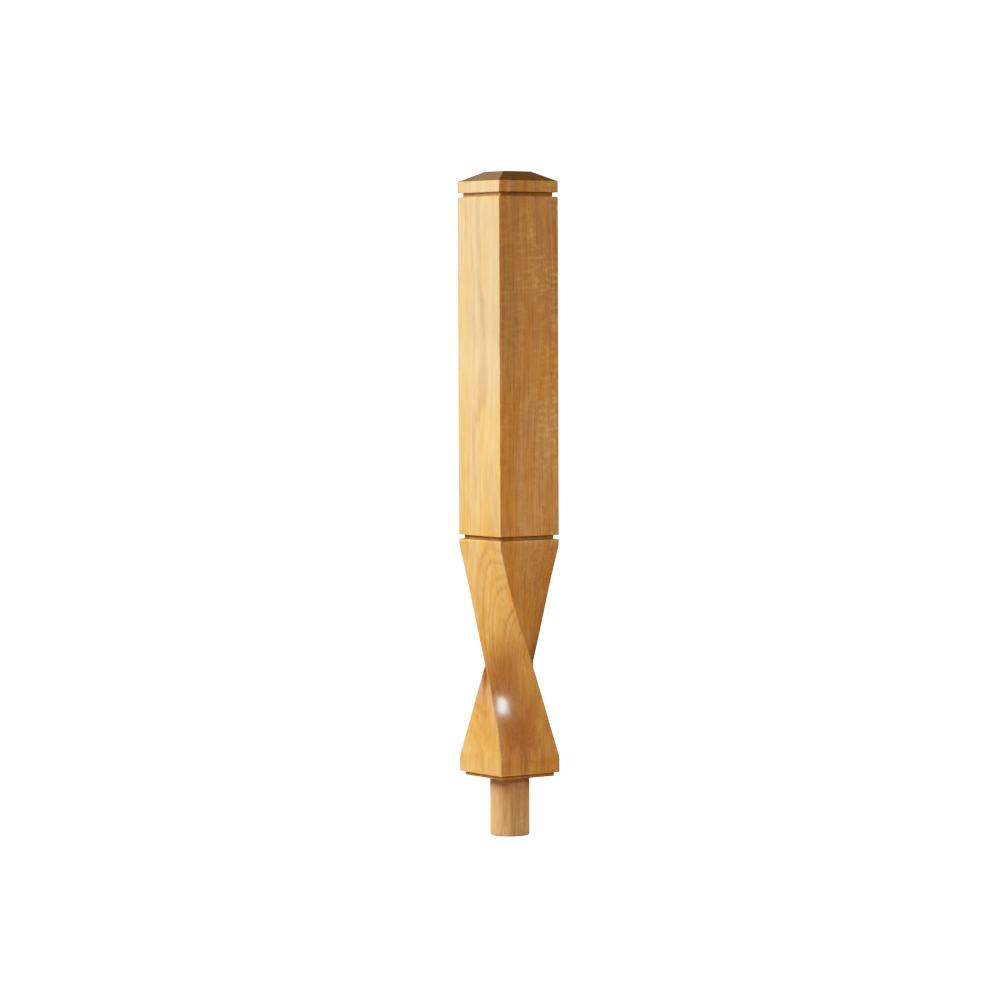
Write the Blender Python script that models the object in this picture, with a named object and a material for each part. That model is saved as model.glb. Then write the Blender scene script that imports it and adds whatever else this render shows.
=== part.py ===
"""Square newel post in solid oak, with a waisted quarter twist above its foot.

The post is cut from one square blank. From the top down it has a low hipped cap, a groove,
a long plain shaft for the handrail, a second groove, the twist, a short square base, a
rebate under the base, and a round spigot that is glued into the newel base of a stair.

Metres, +Z up. The origin is the centre of the spigot's end, and the faces of the squares
look along X and Y.
"""
from math import cos, pi, radians, sin, sqrt

import bmesh
import bpy
from mathutils import Matrix, Vector

# Driving dimensions
POST_SIDE = 0.091
ARRIS_RADIUS = 0.001

SPIGOT_DIAMETER = 0.050
SPIGOT_LENGTH = 0.075
SPIGOT_CHAMFER = 0.001

REBATE_HEIGHT = 0.005
REBATE_DEPTH = 0.005
BASE_HEIGHT = 0.020

TWIST_LENGTH = 0.267
TWIST_TURN = radians(90)
TWIST_EASE = 0.54
TWIST_BLEND = 0.005
WAIST_SIDE = 0.0595

LEAD_HEIGHT = 0.008
GROOVE_HEIGHT = 0.005
GROOVE_DEPTH = 0.005
SHAFT_LENGTH = 0.425

CAP_BAND_HEIGHT = 0.0145
CAP_RISE = 0.0125
CAP_TOP_SIDE = 0.042

# Fineness of the faces
ARRIS_STEPS = 2
FACE_STEPS = 4
TWIST_STEPS = 48
END_DENSITY = 0.6
SPIGOT_STEPS = 64
SHARP_ANGLE = radians(25)

# Clear lacquered oak
OAK_COLOUR = (0.56, 0.30, 0.105, 1.0)
OAK_ROUGHNESS = 0.42


def clear_scene():
    for item in list(bpy.data.objects):
        bpy.data.objects.remove(item, do_unlink=True)


def oak_material():
    material = bpy.data.materials.new("oak")
    material.use_nodes = True
    shader = material.node_tree.nodes["Principled BSDF"]
    shader.inputs["Base Color"].default_value = OAK_COLOUR
    shader.inputs["Roughness"].default_value = OAK_ROUGHNESS
    shader.inputs["Metallic"].default_value = 0.0
    return material


def square_outline(side):
    """Points round a square with rounded arrises, counterclockwise seen from above."""
    inner = side / 2 - ARRIS_RADIUS
    quarter = []
    for step in range(ARRIS_STEPS + 1):
        angle = pi / 2 * step / ARRIS_STEPS
        quarter.append(Vector((inner + ARRIS_RADIUS * cos(angle), inner + ARRIS_RADIUS * sin(angle))))
    for step in range(1, FACE_STEPS):
        quarter.append(Vector((inner - 2 * inner * step / FACE_STEPS, side / 2)))
    outline = []
    for corner in range(4):
        spin = Matrix.Rotation(pi / 2 * corner, 2)
        outline += [spin @ point for point in quarter]
    return outline


def run_in(rise):
    """Rise above the start of the twist, with the start worn to a soft bend instead of a crease."""
    if rise < TWIST_BLEND:
        return (rise + TWIST_BLEND) ** 2 / (4 * TWIST_BLEND)
    return rise


def twist_share(rise):
    """Share of the twist that is done at a height above its start."""
    if rise < TWIST_LENGTH / 2:
        return run_in(rise) / TWIST_LENGTH
    return 1 - run_in(TWIST_LENGTH - rise) / TWIST_LENGTH


def twist_side(share):
    """Side of the square at a share of the twist's length: a hyperbola, least half way."""
    spread = 1 - 2 * share
    return sqrt(WAIST_SIDE**2 + (POST_SIDE**2 - WAIST_SIDE**2) * spread**2)


def twist_turn(share):
    """Turn that is left at a share of the twist's length: slow at both ends, quick at the waist."""
    return TWIST_TURN * (1 - share + TWIST_EASE * sin(2 * pi * share) / (2 * pi))


def twist_rises():
    """Heights of the twist's sections above its start, closer together at both ends."""
    rises = []
    for step in range(TWIST_STEPS + 1):
        even = step / TWIST_STEPS
        spaced = even - END_DENSITY * sin(2 * pi * even) / (2 * pi)
        rises.append((TWIST_LENGTH + 2 * TWIST_BLEND) * spaced - TWIST_BLEND)
    return rises


def post_sections():
    """Height, side and turn of each square section, from the shoulder up to the flat top."""
    sections = []
    height = SPIGOT_LENGTH

    def add_block(length, side, turn=0.0):
        nonlocal height
        sections.append((height, side, turn))
        height += length
        sections.append((height, side, turn))

    add_block(REBATE_HEIGHT, POST_SIDE - 2 * REBATE_DEPTH, TWIST_TURN)
    sections.append((height, POST_SIDE, TWIST_TURN))
    height += BASE_HEIGHT
    for rise in twist_rises():
        share = twist_share(rise)
        sections.append((height + rise, twist_side(share), twist_turn(share)))
    height += TWIST_LENGTH + LEAD_HEIGHT
    sections.append((height, POST_SIDE, 0.0))
    add_block(GROOVE_HEIGHT, POST_SIDE - 2 * GROOVE_DEPTH)
    add_block(SHAFT_LENGTH, POST_SIDE)
    add_block(GROOVE_HEIGHT, POST_SIDE - 2 * GROOVE_DEPTH)
    add_block(CAP_BAND_HEIGHT, POST_SIDE)
    sections.append((height + CAP_RISE, CAP_TOP_SIDE, 0.0))
    return sections


def add_ring(bm, outline, height):
    return [bm.verts.new((point.x, point.y, height)) for point in outline]


def skin(bm, rings):
    """Faces between each ring of points and the next."""
    for lower, upper in zip(rings, rings[1:]):
        for index in range(len(lower)):
            ahead = (index + 1) % len(lower)
            bm.faces.new((lower[index], lower[ahead], upper[ahead], upper[index]))


def ring_edges(bm, ring):
    return [bm.edges.get((ring[index - 1], ring[index])) for index in range(len(ring))]


def add_post(bm):
    """Square part of the post, open at the shoulder; returns the shoulder's outer ring."""
    rings = []
    for height, side, turn in post_sections():
        spin = Matrix.Rotation(turn, 2)
        rings.append(add_ring(bm, [spin @ point for point in square_outline(side)], height))
    skin(bm, rings)
    bm.faces.new(rings[-1])
    return rings[0]


def add_spigot(bm):
    """Round spigot, open at the shoulder; returns the ring where it meets the shoulder."""
    radius = SPIGOT_DIAMETER / 2
    profile = (
        (radius - SPIGOT_CHAMFER, 0.0),
        (radius, SPIGOT_CHAMFER),
        (radius, SPIGOT_LENGTH),
    )
    rings = []
    for ring_radius, height in profile:
        outline = []
        for step in range(SPIGOT_STEPS):
            angle = 2 * pi * step / SPIGOT_STEPS
            outline.append(Vector((ring_radius * cos(angle), ring_radius * sin(angle))))
        rings.append(add_ring(bm, outline, height))
    skin(bm, rings)
    bm.faces.new(reversed(rings[0]))
    return rings[-1]


def build_newel_post():
    bm = bmesh.new()
    outer = add_post(bm)
    inner = add_spigot(bm)
    edges = ring_edges(bm, outer) + ring_edges(bm, inner)
    bmesh.ops.triangle_fill(bm, use_beauty=True, edges=edges)
    bmesh.ops.recalc_face_normals(bm, faces=bm.faces)
    mesh = bpy.data.meshes.new("newel_post")
    bm.to_mesh(mesh)
    bm.free()
    mesh.shade_smooth()
    mesh.set_sharp_from_angle(angle=SHARP_ANGLE)
    mesh.materials.append(oak_material())
    post = bpy.data.objects.new("newel_post", mesh)
    bpy.context.scene.collection.objects.link(post)
    return post


clear_scene()
build_newel_post()
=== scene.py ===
"""Looks of a square oak newel post: clear-lacquered solid oak in a plain white studio."""
from collections import namedtuple
from math import cos, pi, radians, sin, sqrt

import bmesh
import bpy
from mathutils import Matrix, Vector


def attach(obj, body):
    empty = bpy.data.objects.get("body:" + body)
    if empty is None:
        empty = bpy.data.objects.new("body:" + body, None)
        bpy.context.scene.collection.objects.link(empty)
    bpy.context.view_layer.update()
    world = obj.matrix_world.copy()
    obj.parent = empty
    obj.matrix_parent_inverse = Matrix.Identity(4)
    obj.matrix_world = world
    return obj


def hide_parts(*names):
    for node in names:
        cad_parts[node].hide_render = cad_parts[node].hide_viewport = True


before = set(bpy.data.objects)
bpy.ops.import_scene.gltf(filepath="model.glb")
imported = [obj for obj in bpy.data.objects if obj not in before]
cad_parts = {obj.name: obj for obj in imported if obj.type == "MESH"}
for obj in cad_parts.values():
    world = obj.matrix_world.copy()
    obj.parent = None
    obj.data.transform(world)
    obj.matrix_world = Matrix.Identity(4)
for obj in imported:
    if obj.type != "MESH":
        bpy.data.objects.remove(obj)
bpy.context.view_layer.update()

# Sizes of the post in metres, as in its CAD source
POST_SIDE = 0.091
ARRIS_RADIUS = 0.001
SPIGOT_RADIUS = 0.025
SPIGOT_LENGTH = 0.075
SPIGOT_CHAMFER = 0.001
REBATE_HEIGHT = 0.005
REBATE_DEPTH = 0.005
BASE_HEIGHT = 0.020
TWIST_LENGTH = 0.267
TWIST_TURN = radians(90)
TWIST_EASE = 0.54
TWIST_BLEND = 0.005
WAIST_SIDE = 0.0595
LEAD_HEIGHT = 0.008
GROOVE_HEIGHT = 0.005
GROOVE_DEPTH = 0.005
SHAFT_LENGTH = 0.425
CAP_BAND_HEIGHT = 0.0145
CAP_RISE = 0.0125
CAP_TOP_SIDE = 0.042

# Sanding of the edges that run across the grain, and fineness of the mesh
EDGE_RADIUS = 0.0004
EDGE_STEPS = 4
ARRIS_STEPS = 6
FACE_STEPS = 14
TWIST_STEPS = 150
END_DENSITY = 0.6
SUPPORT = 0.0015
SHORTEST_HELD_RUN = 2.5 * SUPPORT
SHARP_ANGLE = radians(32)

# Heights worked out from the sizes, and each recess by its start, height and depth
TWIST_START = SPIGOT_LENGTH + REBATE_HEIGHT + BASE_HEIGHT
LOWER_GROOVE = TWIST_START + TWIST_LENGTH + LEAD_HEIGHT
UPPER_GROOVE = LOWER_GROOVE + GROOVE_HEIGHT + SHAFT_LENGTH
RECESSES = (
    (SPIGOT_LENGTH, REBATE_HEIGHT, REBATE_DEPTH),
    (LOWER_GROOVE, GROOVE_HEIGHT, GROOVE_DEPTH),
    (UPPER_GROOVE, GROOVE_HEIGHT, GROOVE_DEPTH),
)


# Post

def square_outline(side):
    """Points round a square with rounded arrises, closer together beside each arris."""
    inner = side / 2 - ARRIS_RADIUS
    quarter = []
    for step in range(ARRIS_STEPS + 1):
        angle = pi / 2 * step / ARRIS_STEPS
        quarter.append(Vector((inner + ARRIS_RADIUS * cos(angle), inner + ARRIS_RADIUS * sin(angle))))
    for step in range(1, FACE_STEPS):
        quarter.append(Vector((inner * cos(pi * step / FACE_STEPS), side / 2)))
    outline = []
    for corner in range(4):
        spin = Matrix.Rotation(pi / 2 * corner, 2)
        outline += [spin @ point for point in quarter]
    return outline


def round_outline(radius):
    """Points round a circle, as many as round a square, level with them at the arrises."""
    steps = 4 * (ARRIS_STEPS + FACE_STEPS)
    outline = []
    for step in range(steps):
        angle = pi / 4 + 2 * pi * (step - ARRIS_STEPS / 2) / steps
        outline.append(Vector((radius * cos(angle), radius * sin(angle))))
    return outline


def run_in(rise):
    """Rise above the start of the twist, with the start worn to a soft bend instead of a crease."""
    if rise < TWIST_BLEND:
        return (rise + TWIST_BLEND) ** 2 / (4 * TWIST_BLEND)
    return rise


def twist_share(rise):
    """Share of the twist that is done at a height above its start."""
    if rise < TWIST_LENGTH / 2:
        return run_in(rise) / TWIST_LENGTH
    return 1 - run_in(TWIST_LENGTH - rise) / TWIST_LENGTH


def twist_side(share):
    """Side of the square at a share of the twist's length: a hyperbola, least half way."""
    spread = 1 - 2 * share
    return sqrt(WAIST_SIDE**2 + (POST_SIDE**2 - WAIST_SIDE**2) * spread**2)


def twist_turn(share):
    """Turn that is left at a share of the twist's length: slow at both ends, quick at the waist."""
    return TWIST_TURN * (1 - share + TWIST_EASE * sin(2 * pi * share) / (2 * pi))


def twist_rises():
    """Heights of the twist's sections above its start, closer together at both ends."""
    rises = []
    for step in range(TWIST_STEPS + 1):
        even = step / TWIST_STEPS
        spaced = even - END_DENSITY * sin(2 * pi * even) / (2 * pi)
        rises.append((TWIST_LENGTH + 2 * TWIST_BLEND) * spaced - TWIST_BLEND)
    return rises


def fillet(before, corner, after):
    """Points of the small arc that sands one corner of a profile."""
    to_before = (before - corner).normalized()
    to_after = (after - corner).normalized()
    half = to_before.angle(to_after) / 2
    reach = EDGE_RADIUS / sin(half) * cos(half)
    centre = corner + (to_before + to_after).normalized() * (EDGE_RADIUS / sin(half))
    first = corner + to_before * reach - centre
    last = corner + to_after * reach - centre
    steps = range(EDGE_STEPS + 1)
    return [centre + first.slerp(last, step / EDGE_STEPS) * EDGE_RADIUS for step in steps]


def sanded(corners):
    """A profile of half sides and heights with its outer corners rounded and its runs held flat."""
    points = [corners[0]]
    for before, corner, after in zip(corners, corners[1:], corners[2:]):
        is_outer = (corner - before).cross(after - corner) > 0
        points += fillet(before, corner, after) if is_outer else [corner]
    points.append(corners[-1])
    held = [points[0]]
    for start, end in zip(points, points[1:]):
        run = end - start
        if run.length > SHORTEST_HELD_RUN:
            held += [start + run.normalized() * SUPPORT, end - run.normalized() * SUPPORT]
        held.append(end)
    return held


def foot_profile():
    """Shoulder, rebate and square base, up to where the twist begins to run in."""
    half = POST_SIDE / 2
    rebate = half - REBATE_DEPTH
    shoulder = SPIGOT_LENGTH
    overhang = shoulder + REBATE_HEIGHT
    corners = [(SPIGOT_RADIUS, shoulder), (rebate, shoulder), (rebate, overhang), (half, overhang)]
    corners.append((half, overhang + BASE_HEIGHT - TWIST_BLEND))
    return sanded([Vector(corner) for corner in corners])[1:-1]


def head_profile():
    """From where the twist has run out up: lead, groove, shaft, groove, band and hipped cap.

    The last point lies in the flat top, half way in, so that the top's edge is held flat too.
    """
    half = POST_SIDE / 2
    groove = half - GROOVE_DEPTH
    height = TWIST_START + TWIST_LENGTH
    corners = [(half, height + TWIST_BLEND)]
    for length in (LEAD_HEIGHT, SHAFT_LENGTH):
        height += length
        corners += [(half, height), (groove, height)]
        height += GROOVE_HEIGHT
        corners += [(groove, height), (half, height)]
    height += CAP_BAND_HEIGHT
    corners.append((half, height))
    height += CAP_RISE
    corners += [(CAP_TOP_SIDE / 2, height), (CAP_TOP_SIDE / 4, height)]
    return sanded([Vector(corner) for corner in corners])[1:]


def post_sections():
    """Outline, height and turn of each section, from the spigot's end up."""
    spigot = [
        (SPIGOT_RADIUS - SPIGOT_CHAMFER, 0.0),
        (SPIGOT_RADIUS, SPIGOT_CHAMFER),
        (SPIGOT_RADIUS, SPIGOT_CHAMFER + SUPPORT),
        (SPIGOT_RADIUS, SPIGOT_LENGTH - SUPPORT),
        (SPIGOT_RADIUS, SPIGOT_LENGTH),
    ]
    sections = [(round_outline(radius), height, TWIST_TURN) for radius, height in spigot]
    for half, height in foot_profile():
        sections.append((square_outline(2 * half), height, TWIST_TURN))
    for rise in twist_rises():
        share = twist_share(rise)
        sections.append((square_outline(twist_side(share)), TWIST_START + rise, twist_turn(share)))
    for half, height in head_profile():
        sections.append((square_outline(2 * half), height, 0.0))
    return sections


def is_recessed(place):
    """Whether a point lies on the inner wall of a groove or of the rebate."""
    for start, height, depth in RECESSES:
        wall = POST_SIDE / 2 - depth
        if start <= place.z <= start + height and max(abs(place.x), abs(place.y)) < wall + SUPPORT:
            return True
    return False


def is_unlacquered(place):
    """Whether a point lies on the spigot, which is left bare for glue."""
    return place.xy.length < SPIGOT_RADIUS + SUPPORT and place.z <= SPIGOT_LENGTH


def skin_sections(bm):
    """A ring of points at each section, skinned one to the next and closed at both ends."""
    rings = []
    for outline, height, turn in post_sections():
        spin = Matrix.Rotation(turn, 2)
        rings.append([bm.verts.new((*(spin @ point), height)) for point in outline])
    for lower, upper in zip(rings, rings[1:]):
        for index in range(len(lower)):
            ahead = (index + 1) % len(lower)
            bm.faces.new((lower[index], lower[ahead], upper[ahead], upper[index]))
    bm.faces.new(reversed(rings[0]))
    bm.faces.new(rings[-1])


def mark_surfaces(bm):
    """Marks that the oak reads: in a recess, and bare of lacquer."""
    recessed = bm.verts.layers.float.new("recessed")
    unlacquered = bm.verts.layers.float.new("unlacquered")
    for vert in bm.verts:
        vert[recessed] = float(is_recessed(vert.co))
        vert[unlacquered] = float(is_unlacquered(vert.co))


def build_post():
    bm = bmesh.new()
    skin_sections(bm)
    mark_surfaces(bm)
    mesh = bpy.data.meshes.new("newel_post_oak")
    bm.to_mesh(mesh)
    bm.free()
    mesh.shade_smooth()
    mesh.set_sharp_from_angle(angle=SHARP_ANGLE)
    post = bpy.data.objects.new("newel_post_oak", mesh)
    bpy.context.scene.collection.objects.link(post)
    return post


# Shader nodes

# Sockets of a mix node, which has a pair for numbers and a pair for colours
MIX_SHARE = 0
MIX_NUMBERS = (2, 3)
MIX_COLOURS = (6, 7)
MIXED_COLOUR = 2

# Spans and levels of a slope that are used again and again
WHOLE = (0.0, 1.0)
FALLING = (1.0, 0.0)


def add_node(tree, kind, values=None, **settings):
    """A shader node with its settings, and its inputs set to numbers or joined to sockets."""
    node = tree.nodes.new(kind)
    for name, value in settings.items():
        setattr(node, name, value)
    for key, value in (values or {}).items():
        if isinstance(value, bpy.types.NodeSocket):
            tree.links.new(value, node.inputs[key])
        else:
            node.inputs[key].default_value = value
    return node


def calc(tree, operation, first, second=0.0):
    return add_node(tree, "ShaderNodeMath", {0: first, 1: second}, operation=operation).outputs[0]


def product(tree, first, *others):
    for other in others:
        first = calc(tree, "MULTIPLY", first, other)
    return first


def total(tree, first, *others):
    for other in others:
        first = calc(tree, "ADD", first, other)
    return first


def vector(tree, x, y=0.0, z=0.0):
    return add_node(tree, "ShaderNodeCombineXYZ", {0: x, 1: y, 2: z}).outputs[0]


def calc_vector(tree, operation, first, second):
    values = {0: first, 1: second}
    return add_node(tree, "ShaderNodeVectorMath", values, operation=operation).outputs[0]


def toward(tree, place, way):
    """How far a place lies along a way from the origin."""
    values = {0: place, 1: way}
    return add_node(tree, "ShaderNodeVectorMath", values, operation="DOT_PRODUCT").outputs["Value"]


def noise(tree, place, cells, detail=2.0, roughness=0.5, output=0):
    """Noise with so many cells to the unit along X, Y and Z: its value, or another output."""
    values = {
        "Vector": calc_vector(tree, "MULTIPLY", place, cells),
        "Scale": 1.0,
        "Detail": detail,
        "Roughness": roughness,
    }
    return add_node(tree, "ShaderNodeTexNoise", values).outputs[output]


def slope(tree, value, span, levels=WHOLE):
    """Smooth step of a value, from the first level at the span's start to the last at its end."""
    values = {
        "Value": value,
        "From Min": span[0],
        "From Max": span[1],
        "To Min": levels[0],
        "To Max": levels[1],
    }
    return add_node(tree, "ShaderNodeMapRange", values, interpolation_type="SMOOTHSTEP").outputs[0]


def band(tree, value, span, edge):
    """One where a value lies in a span, none beyond, with soft edges."""
    start, end = span
    rise = slope(tree, value, (start - edge, start + edge))
    return product(tree, rise, slope(tree, value, (end - edge, end + edge), FALLING))


def mix_colours(tree, share, first, second, mode="MIX"):
    """Colour first with second laid over it by share."""
    values = {MIX_SHARE: share, MIX_COLOURS[0]: first, MIX_COLOURS[1]: second}
    node = add_node(tree, "ShaderNodeMix", values, data_type="RGBA", blend_type=mode)
    return node.outputs[MIXED_COLOUR]


def tinted(tree, share, colour, tint):
    """A colour multiplied by a tint, by share."""
    return mix_colours(tree, share, colour, tint, mode="MULTIPLY")


# Oak

# The tree: its pith beside the post, and how the grain wanders and ripples round it
PITH = (0.17, -0.036)
NOISE_MEAN = (0.5, 0.5, 0.5)
WANDER_CELLS = (7, 7, 2.2)
WANDER_REACH = (0.022, 0.012, 0.0)
RIPPLE_CELLS = (60, 60, 14)
RIPPLE_REACH = (0.0026, 0.0026, 0.0)

# Growth rings: their width, by how many rings uneven years shift them, when early wood starts and
# ends as shares of a year, and its strength by vigour, on bare wood and near the butt
RING_WIDTH = 0.0040
YEAR_CELLS = (70, 1, 1)
YEAR_SHIFT = 3.2
EARLY_START = (0.0, 0.14)
EARLY_END = (0.16, 0.75)
VIGOUR_CELLS = (170, 1, 3)
VIGOUR_SPAN = (0.38, 0.7)
VIGOUR_LEVELS = (0.1, 1.0)
BARE_RING_LEVELS = (1.0, 0.2)
BUTT_RING_SPAN = (0.12, 0.26)
BUTT_RING_LEVELS = (0.5, 1.0)

# Pores: dashes along the grain, and how their strength grows with the early wood
PORE_CELLS = (1700, 1700, 75)
PORE_SPAN = (0.57, 0.68)
PORE_EARLY_SPAN = (0.0, 0.9)
PORE_LEVELS = (0.16, 1.0)
PORE_COVER = 0.7

# Rays: cells to the radian round the pith and to the metre out from it and along it, and their
# strength by patch, radius and height
RAY_CELLS = (200, 50, 215)
RAY_SPAN = (0.47, 0.68)
RAY_PATCH_CELLS = (32, 32, 14)
RAY_PATCH_SPAN = (0.38, 0.6)
RAY_PATCH_LEVELS = (0.15, 1.0)
RAY_RADIUS_SPAN = (0.155, 0.205)
RAY_RADIUS_LEVELS = (1.0, 0.45)
RAY_HEIGHT_SPAN = (0.40, 0.58)
RAY_HEIGHT_LEVELS = (0.45, 1.0)
RAY_COVER = 0.62

# Cut: the early wood's strength, and where rays turn dark, by how far a face runs along the rings
EARLY_CUT_SPAN = (0.3, 0.95)
EARLY_CUT_LEVELS = (0.2, 0.88)
RAY_CUT_SPAN = (0.5, 0.9)

# Shade: the fibres, then streaks, tone and mottle, each with its cells, detail, roughness, span
# and levels
FIBRE_CELLS = (620, 620, 14)
FIBRE_DETAIL = 3
FIBRE_NOISE_ROUGHNESS = 0.65
FIBRE_SPAN = (0.25, 0.75)
FIBRE_SHADES = (0.88, 1.12)
SHADE_NOISES = (
    ((170, 170, 4), 3, 0.6, (0.25, 0.75), (-0.085, 0.085)),
    ((30, 30, 5), 2, 0.5, (0.3, 0.7), (-0.05, 0.05)),
    ((110, 110, 40), 2, 0.5, (0.3, 0.7), (-0.05, 0.05)),
)

# Colours of the wood in linear light
OAK_LATE = (0.68, 0.325, 0.110, 1)
OAK_EARLY = (0.445, 0.240, 0.072, 1)
OAK_PORE = (0.36, 0.150, 0.045, 1)
OAK_RAY = (0.84, 0.450, 0.178, 1)

# Golden tint: in patches, and growing down toward the butt, but less on the base
GOLD_TINT = (1.0, 0.93, 0.74, 1)
GOLD_CELLS = (45, 45, 7)
GOLD_SPAN = (0.42, 0.62)
GOLD_BUTT_SPAN = (0.33, 0.12)
GOLD_BUTT_LEVELS = (0.0, 0.9)
GOLD_BASE_SPAN = (0.085, 0.115)
GOLD_BASE_LEVELS = (0.3, 1.0)

# Broad tones: distances from the pith, heights, and the tint between them, which has soft edges
TONES_AND_PAINTED_LIGHT = (
    # Painted shade: darker on the shaded side of the base, rebate and spigot
    ((0.100, 0.190), (0.020, 0.110), (0.92, 0.91, 0.86, 1)),
    # Painted shade: dark brown low on the twist, where its face turns away from the key light
    ((0.158, 0.207), (0.104, 0.170), (0.75, 0.62, 0.42, 1)),
    # Painted shade: a little darker on the lower left of the twist, under its overhang
    ((0.207, 0.260), (0.100, 0.200), (0.92, 0.92, 0.84, 1)),
    # Painted shade: dark brown at the waist, where the twisted face turns away from the key light
    ((0.183, 0.212), (0.170, 0.240), (0.75, 0.66, 0.57, 1)),
    # Painted light and sheen: paler and bluer low on the shaft's shaded face
    ((0.100, 0.195), (0.350, 0.540), (1.04, 1.06, 1.20, 1)),
    ((0.210, 0.218), (0.540, 0.800), (0.88, 0.90, 0.92, 1)),
    # Painted shade: darker toward the cap, where less light falls
    ((0.100, 0.300), (0.620, 0.900), (0.87, 0.85, 0.80, 1)),
)
BROAD_RADIUS_EDGE = 0.009
BROAD_HEIGHT_EDGE = 0.03

# End grain by how far a face looks up or down, the flat top by how level it is, and their tints
END_GRAIN_SPAN = (0.35, 0.9)
LEVEL_SPAN = (0.93, 0.99)
END_GRAIN_TINT = (0.285, 0.31, 0.235, 1)
# Painted shade on the inner walls of the grooves and the rebate, darkened where shade falls
RECESS_PAINTED_SHADE = (0.82, 0.83, 0.75, 1)
# Bare spigot: paler and less orange than lacquered wood, and bluer still, which is painted sheen
BARE_TINT_AND_PAINTED_SHEEN = (0.90, 1.07, 1.75, 1)

# Relief of the fibres and pores, roughness of the wood, and roughness that pores, bare wood and
# the flat top add
FIBRE_RELIEF = 0.25
RELIEF_STRENGTH = 0.35
RELIEF_HEIGHT = 0.00006
FIBRE_GLOSS_SPAN = (0.2, 0.8)
FIBRE_ROUGHNESS = (0.38, 0.48)
PORE_ROUGHNESS = 0.2
UNLACQUERED_ROUGHNESS = 0.2
LEVEL_ROUGHNESS = 0.12
WOOD_IOR = 1.45
WOOD_SPECULAR = 0.2

# Lacquer: what recesses lose of it, and what end grain and the flat top keep
RECESS_LACQUER_LOSS = 0.7
END_GRAIN_LACQUER = (1.0, 0.6)
LEVEL_LACQUER = (1.0, 0.16)
LACQUER_ROUGHNESS = 0.18
LACQUER_IOR = 1.5

Wood = namedtuple("Wood", "point radius angle height")
Surface = namedtuple("Surface", "cut end_grain level recessed unlacquered")


def stray(tree, place, cells, reach):
    """How noise shifts a place, by up to half of reach either way."""
    shift = noise(tree, place, cells, output="Color")
    return calc_vector(tree, "MULTIPLY", calc_vector(tree, "SUBTRACT", shift, NOISE_MEAN), reach)


def place_in_tree(tree, place):
    """Point in the straying grain, its distance from the pith, its angle round it and its height."""
    wander = stray(tree, place, WANDER_CELLS, WANDER_REACH)
    ripple = stray(tree, place, RIPPLE_CELLS, RIPPLE_REACH)
    point = calc_vector(tree, "ADD", calc_vector(tree, "ADD", place, wander), ripple)
    split = add_node(tree, "ShaderNodeSeparateXYZ", {0: point})
    inward = calc(tree, "SUBTRACT", PITH[0], split.outputs["X"])
    across = calc(tree, "SUBTRACT", split.outputs["Y"], PITH[1])
    square = total(tree, product(tree, inward, inward), product(tree, across, across))
    radius = calc(tree, "SQRT", square)
    angle = calc(tree, "ARCTAN2", across, inward)
    return Wood(point, radius, angle, split.outputs["Z"])


def read_surface(tree, normal, wood):
    """How far a face runs along the rings, how far it is end grain or level, and its marks."""
    facing = add_node(tree, "ShaderNodeSeparateXYZ", {0: normal})
    by_sine = product(tree, facing.outputs["Y"], calc(tree, "SINE", wood.angle))
    by_cosine = product(tree, facing.outputs["X"], calc(tree, "COSINE", wood.angle))
    upright = calc(tree, "ABSOLUTE", facing.outputs["Z"])
    return Surface(
        cut=calc(tree, "ABSOLUTE", calc(tree, "SUBTRACT", by_sine, by_cosine)),
        end_grain=slope(tree, upright, END_GRAIN_SPAN),
        level=slope(tree, upright, LEVEL_SPAN),
        recessed=add_node(tree, "ShaderNodeAttribute", attribute_name="recessed").outputs["Fac"],
        unlacquered=add_node(tree, "ShaderNodeAttribute", attribute_name="unlacquered").outputs["Fac"],
    )


def early_wood(tree, wood, surface):
    """Early wood: a sharp start each year that fades into dense late wood, some years stronger."""
    uneven = noise(tree, vector(tree, wood.radius), YEAR_CELLS, detail=1)
    rings = calc(tree, "DIVIDE", wood.radius, RING_WIDTH)
    season = calc(tree, "FRACT", total(tree, rings, product(tree, uneven, YEAR_SHIFT)))
    vigour = noise(tree, vector(tree, wood.radius, z=wood.height), VIGOUR_CELLS)
    return product(
        tree,
        slope(tree, season, EARLY_START),
        slope(tree, season, EARLY_END, FALLING),
        slope(tree, vigour, VIGOUR_SPAN, VIGOUR_LEVELS),
        slope(tree, surface.unlacquered, WHOLE, BARE_RING_LEVELS),
        slope(tree, wood.height, BUTT_RING_SPAN, BUTT_RING_LEVELS),
    )


def pore_share(tree, wood, early):
    """Pores: fine dashes along the grain, thick in the early wood."""
    dashes = slope(tree, noise(tree, wood.point, PORE_CELLS, detail=1), PORE_SPAN)
    return product(tree, dashes, slope(tree, early, PORE_EARLY_SPAN, PORE_LEVELS))


def ray_share(tree, wood):
    """Rays: thin sheets that run out from the pith, seen as flecks on faces cut along them."""
    sheet = vector(tree, wood.angle, wood.radius, wood.height)
    flecks = slope(tree, noise(tree, sheet, RAY_CELLS, detail=1), RAY_SPAN)
    patches = noise(tree, wood.point, RAY_PATCH_CELLS, detail=1)
    strength = product(
        tree,
        slope(tree, patches, RAY_PATCH_SPAN, RAY_PATCH_LEVELS),
        slope(tree, wood.radius, RAY_RADIUS_SPAN, RAY_RADIUS_LEVELS),
        slope(tree, wood.height, RAY_HEIGHT_SPAN, RAY_HEIGHT_LEVELS),
    )
    return product(tree, flecks, strength)


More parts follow.
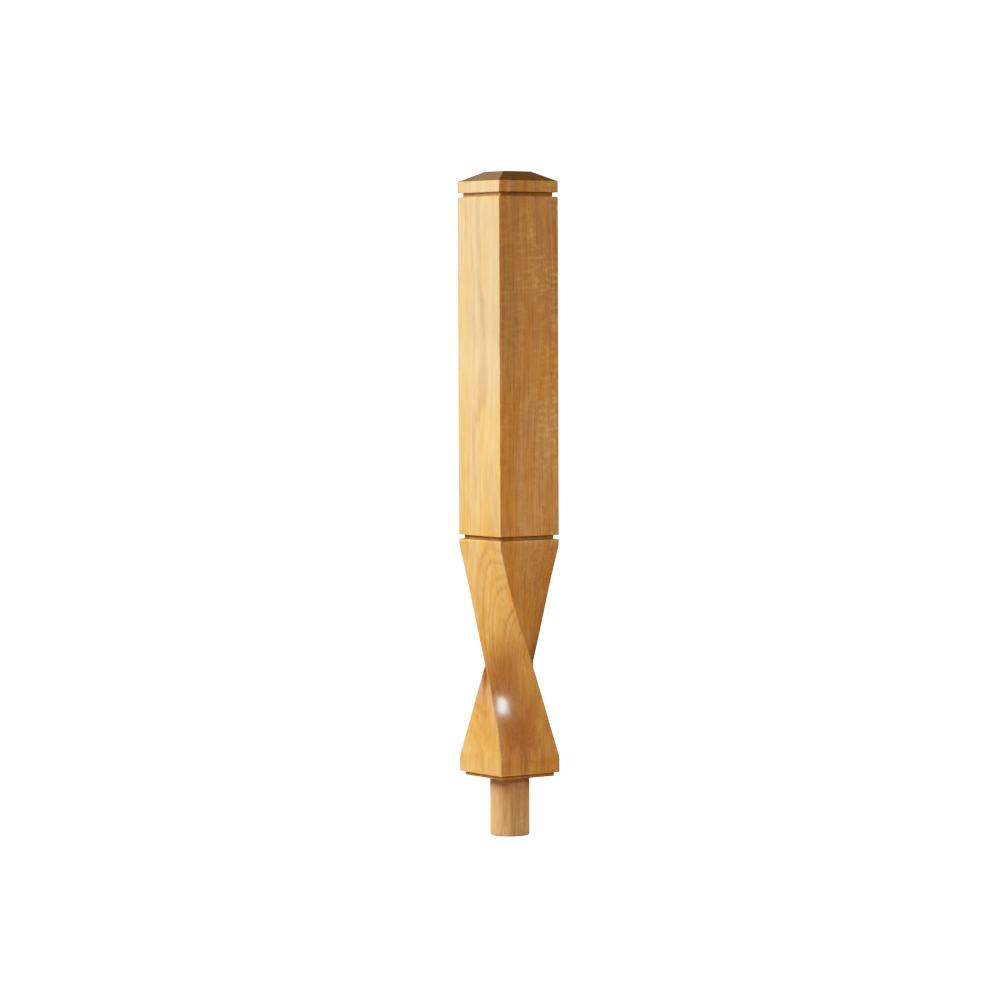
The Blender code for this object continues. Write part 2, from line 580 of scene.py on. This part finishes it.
def figured_colour(tree, wood, surface, early, pores, fibres):
    """Rings, rays and pores laid over the late wood, shaded by the fibres and streaks."""
    early_cut = slope(tree, surface.cut, EARLY_CUT_SPAN, EARLY_CUT_LEVELS)
    colour = mix_colours(tree, product(tree, early, early_cut), OAK_LATE, OAK_EARLY)
    ray_colour = mix_colours(tree, slope(tree, surface.cut, RAY_CUT_SPAN), OAK_RAY, OAK_EARLY)
    colour = mix_colours(tree, product(tree, ray_share(tree, wood), RAY_COVER), colour, ray_colour)
    colour = mix_colours(tree, product(tree, pores, PORE_COVER), colour, OAK_PORE)
    shade = slope(tree, fibres, FIBRE_SPAN, FIBRE_SHADES)
    for cells, detail, roughness, span, levels in SHADE_NOISES:
        varied = noise(tree, wood.point, cells, detail, roughness)
        shade = total(tree, shade, slope(tree, varied, span, levels))
    return tinted(tree, 1.0, colour, vector(tree, shade, shade, shade))


def toned_colour(tree, wood, surface, colour):
    """Golden tint, tones mostly of painted shade, darker end grain, painted shade in recesses, bare
    spigot's tint with painted sheen.
    """
    patches = slope(tree, noise(tree, wood.point, GOLD_CELLS), GOLD_SPAN)
    butt = slope(tree, wood.height, GOLD_BUTT_SPAN, GOLD_BUTT_LEVELS)
    butt = product(tree, butt, slope(tree, wood.height, GOLD_BASE_SPAN, GOLD_BASE_LEVELS))
    colour = tinted(tree, calc(tree, "MAXIMUM", patches, butt), colour, GOLD_TINT)
    # Lay on the tones: most are painted shade, one is painted light and sheen
    for radii, heights, tint in TONES_AND_PAINTED_LIGHT:
        near = band(tree, wood.radius, radii, BROAD_RADIUS_EDGE)
        share = product(tree, near, band(tree, wood.height, heights, BROAD_HEIGHT_EDGE))
        colour = tinted(tree, share, colour, tint)
    colour = tinted(tree, surface.end_grain, colour, END_GRAIN_TINT)
    # Painted shade on the walls of the grooves and the rebate
    colour = tinted(tree, surface.recessed, colour, RECESS_PAINTED_SHADE)
    # Bare spigot: paler than lacquered wood, and bluer, which is painted sheen
    return tinted(tree, surface.unlacquered, colour, BARE_TINT_AND_PAINTED_SHEEN)


def wood_roughness(tree, surface, pores, fibres):
    """Roughness under the lacquer: more in the pores, on bare wood and on the flat top."""
    return total(
        tree,
        product(tree, pores, PORE_ROUGHNESS),
        slope(tree, fibres, FIBRE_GLOSS_SPAN, FIBRE_ROUGHNESS),
        product(tree, surface.unlacquered, UNLACQUERED_ROUGHNESS),
        product(tree, surface.level, LEVEL_ROUGHNESS),
    )


def lacquer_weight(tree, surface):
    """Lacquer: thin in the recesses, none on the spigot, and drunk by end grain, most on the top."""
    lost = total(tree, surface.unlacquered, product(tree, surface.recessed, RECESS_LACQUER_LOSS))
    return product(
        tree,
        calc(tree, "SUBTRACT", 1.0, lost),
        slope(tree, surface.end_grain, WHOLE, END_GRAIN_LACQUER),
        slope(tree, surface.level, WHOLE, LEVEL_LACQUER),
    )


def oak_material():
    """Solid oak cut from one tree, with its rings, pores, rays and fibres, clear lacquered."""
    material = bpy.data.materials.new("clear_lacquered_oak")
    material.use_nodes = True
    tree = material.node_tree
    tree.nodes.clear()
    coordinates = add_node(tree, "ShaderNodeTexCoord")
    wood = place_in_tree(tree, coordinates.outputs["Object"])
    surface = read_surface(tree, coordinates.outputs["Normal"], wood)
    early = early_wood(tree, wood, surface)
    pores = pore_share(tree, wood, early)
    fibres = noise(tree, wood.point, FIBRE_CELLS, FIBRE_DETAIL, FIBRE_NOISE_ROUGHNESS)
    colour = figured_colour(tree, wood, surface, early, pores, fibres)

    # The lacquer bridges the pores only in part, and fibres stand a little proud
    relief = calc(tree, "SUBTRACT", product(tree, fibres, FIBRE_RELIEF), pores)
    bump = add_node(tree, "ShaderNodeBump", {
        "Height": relief,
        "Strength": RELIEF_STRENGTH,
        "Distance": RELIEF_HEIGHT,
    })

    shader = add_node(tree, "ShaderNodeBsdfPrincipled", {
        "Base Color": toned_colour(tree, wood, surface, colour),
        "Roughness": wood_roughness(tree, surface, pores, fibres),
        "IOR": WOOD_IOR,
        "Specular IOR Level": WOOD_SPECULAR,
        "Coat Weight": lacquer_weight(tree, surface),
        "Coat Roughness": LACQUER_ROUGHNESS,
        "Coat IOR": LACQUER_IOR,
        "Normal": bump.outputs[0],
    })
    output = add_node(tree, "ShaderNodeOutputMaterial")
    tree.links.new(shader.outputs[0], output.inputs["Surface"])
    return material


# Studio

# The floor and its shade toward the dark side, in metres from the post
FLOOR_SIDE = 40.0
FLOOR_LEVEL = -0.0002
FLOOR_DARK_SPAN = (0.1, 0.6)
FLOOR_GREYS = (0.42, 0.03)

# White that only the camera sees
WHITE = (1, 1, 1, 1)
WHITE_LEVEL = 1.0

# The room that the post sees: ways from the post, spans of how closely a view keeps to them, and
# how bright it is there; the ceiling goes by how far the view looks up
DARK_WAY = (1.0, 0.0, 0.0)
DARK_SPAN = (0.6, 0.9)
DARK_LEVELS = (1.0, 0.15)
BACKDROP_WAY = (0.59, 0.81, 0.0)
BACKDROP_SPAN = (0.3, 0.8)
BACKDROP_LEVELS = (0.33, 0.36)
CORNER_WAY = (-0.29, 0.95, 0.14)
CORNER_SPAN = (0.94, 0.985)
CORNER_LEVELS = (1.0, 0.45)
CEILING_SPAN = (0.42, 0.6)
CEILING_LEVELS = (1.0, 0.05)

# Tints of the lamps
NEUTRAL = (1, 1, 1)
COOL = (0.72, 0.9, 1.0)


def seen_by_camera(tree):
    return add_node(tree, "ShaderNodeLightPath").outputs["Is Camera Ray"]


def build_floor():
    """Pale floor: white to look at, but it throws only a little light up at the post."""
    bm = bmesh.new()
    bmesh.ops.create_grid(bm, x_segments=1, y_segments=1, size=FLOOR_SIDE / 2)
    mesh = bpy.data.meshes.new("studio_floor")
    bm.to_mesh(mesh)
    bm.free()
    material = bpy.data.materials.new("pale_floor")
    material.use_nodes = True
    tree = material.node_tree
    tree.nodes.clear()
    place = add_node(tree, "ShaderNodeTexCoord").outputs["Object"]
    grey = slope(tree, toward(tree, place, DARK_WAY), FLOOR_DARK_SPAN, FLOOR_GREYS)
    matt = add_node(tree, "ShaderNodeBsdfDiffuse", {"Color": grey}).outputs[0]
    white = add_node(tree, "ShaderNodeEmission", {"Color": WHITE, "Strength": WHITE_LEVEL}).outputs[0]
    surface = add_node(tree, "ShaderNodeMixShader", {0: seen_by_camera(tree), 1: matt, 2: white})
    output = add_node(tree, "ShaderNodeOutputMaterial")
    tree.links.new(surface.outputs[0], output.inputs["Surface"])
    mesh.materials.append(material)
    floor = bpy.data.objects.new("studio_floor", mesh)
    floor.location.z = FLOOR_LEVEL
    bpy.context.scene.collection.objects.link(floor)
    return floor


def add_softbox(name, azimuth, reach, height, aim_height, width, tall, radiance, tint=NEUTRAL):
    """Area light at an angle in degrees round the post, aimed at its axis, unseen by the camera."""
    light = bpy.data.lights.new(name, "AREA")
    light.shape = "RECTANGLE"
    light.size = width
    light.size_y = tall
    light.energy = pi * width * tall * radiance
    light.color = tint
    lamp = bpy.data.objects.new(name, light)
    lamp.location = (reach * cos(radians(azimuth)), reach * sin(radians(azimuth)), height)
    aim = Vector((0, 0, aim_height)) - lamp.location
    lamp.rotation_euler = aim.to_track_quat("-Z", "Y").to_euler()
    lamp.visible_camera = False
    bpy.context.scene.collection.objects.link(lamp)


def build_world():
    """White to the camera; to the post a pale room, dim above, on the dark side and in one corner."""
    world = bpy.data.worlds.new("studio")
    world.use_nodes = True
    tree = world.node_tree
    tree.nodes.clear()
    way = add_node(tree, "ShaderNodeTexCoord").outputs["Generated"]
    upward = add_node(tree, "ShaderNodeSeparateXYZ", {0: way}).outputs["Z"]
    backdrop = slope(tree, toward(tree, way, BACKDROP_WAY), BACKDROP_SPAN, BACKDROP_LEVELS)
    ceiling = slope(tree, upward, CEILING_SPAN, CEILING_LEVELS)
    dark_side = slope(tree, toward(tree, way, DARK_WAY), DARK_SPAN, DARK_LEVELS)
    corner = slope(tree, toward(tree, way, CORNER_WAY), CORNER_SPAN, CORNER_LEVELS)
    room = product(tree, backdrop, ceiling, product(tree, dark_side, corner))
    seen = {MIX_SHARE: seen_by_camera(tree), MIX_NUMBERS[0]: room, MIX_NUMBERS[1]: WHITE_LEVEL}
    strength = add_node(tree, "ShaderNodeMix", seen).outputs[0]
    background = add_node(tree, "ShaderNodeBackground", {"Color": WHITE, "Strength": strength})
    output = add_node(tree, "ShaderNodeOutputWorld")
    tree.links.new(background.outputs[0], output.inputs["Surface"])
    bpy.context.scene.world = world


# Tone

# A contrasty curve with a long shoulder, from light in the scene to light in the picture
COMBINED_CURVE = 3
TONE_CURVE = (
    (0.0, 0.0),
    (0.025, 0.016),
    (0.05, 0.045),
    (0.1, 0.127),
    (0.2, 0.335),
    (0.3, 0.512),
    (0.4, 0.667),
    (0.5, 0.772),
    (0.65, 0.882),
    (0.8, 0.945),
    (1.0, 1.0),
)


def set_tone():
    view = bpy.context.scene.view_settings
    view.view_transform = "Standard"
    view.look = "None"
    view.use_curve_mapping = True
    mapping = view.curve_mapping
    combined = mapping.curves[COMBINED_CURVE]
    for scene_value, shown_value in TONE_CURVE[1:-1]:
        combined.points.new(scene_value, shown_value)
    mapping.update()


# Camera, fitted to the photo's outline of the post

PHOTO_PIXELS = 1000
FOCAL_PIXELS = 4048.2
SENSOR_WIDTH = 36.0
CAMERA_DISTANCE = 5.1
CAMERA_HEIGHT = 0.670
CAMERA_AZIMUTH = radians(234.4)
CAMERA_PITCH = radians(2.764)
CAMERA_YAW = radians(-0.124)
CAMERA_ROLL = radians(-0.211)
FAR_CLIP = 100
UP = Vector((0, 0, 1))


def build_camera():
    data = bpy.data.cameras.new("camera")
    data.sensor_width = SENSOR_WIDTH
    data.lens = FOCAL_PIXELS / PHOTO_PIXELS * SENSOR_WIDTH
    data.clip_end = FAR_CLIP
    camera = bpy.data.objects.new("camera", data)
    towards = Vector((cos(CAMERA_AZIMUTH), sin(CAMERA_AZIMUTH), 0))
    ahead = -towards
    right = ahead.cross(UP)
    ahead = ahead * cos(CAMERA_YAW) + right * sin(CAMERA_YAW)
    right = ahead.cross(UP)
    ahead = ahead * cos(CAMERA_PITCH) - UP * sin(CAMERA_PITCH)
    up = right.cross(ahead)
    rolled_right = right * cos(CAMERA_ROLL) + up * sin(CAMERA_ROLL)
    rolled_up = up * cos(CAMERA_ROLL) - right * sin(CAMERA_ROLL)
    turn = Matrix((rolled_right, rolled_up, -ahead)).transposed().to_4x4()
    place = towards * CAMERA_DISTANCE + UP * CAMERA_HEIGHT
    camera.matrix_world = Matrix.Translation(place) @ turn
    bpy.context.scene.collection.objects.link(camera)
    bpy.context.scene.camera = camera


# Scene

build_camera()
build_world()
build_floor()
add_softbox("key_left", azimuth=150, reach=2.8, height=2.45, aim_height=0.4,
            width=2.2, tall=2.2, radiance=8.35)
add_softbox("panel_low", azimuth=127, reach=1.3, height=0.66, aim_height=0.66,
            width=0.36, tall=0.68, radiance=0.8)
add_softbox("panel_high", azimuth=127, reach=1.32, height=0.8, aim_height=0.8,
            width=0.36, tall=0.5, radiance=0.6)
add_softbox("highlight_right", azimuth=275.6, reach=2.32, height=1.07, aim_height=0.171,
            width=0.50, tall=0.22, radiance=23.5, tint=COOL)
add_softbox("fill_front", azimuth=290, reach=3.0, height=2.6, aim_height=0.3,
            width=1.4, tall=1.4, radiance=1.5)
add_softbox("fill_back", azimuth=0, reach=3.0, height=2.6, aim_height=0.4,
            width=1.4, tall=1.4, radiance=6.5)

post = build_post()
post.data.materials.append(oak_material())
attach(post, "root")
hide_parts("newel_post")

set_tone()
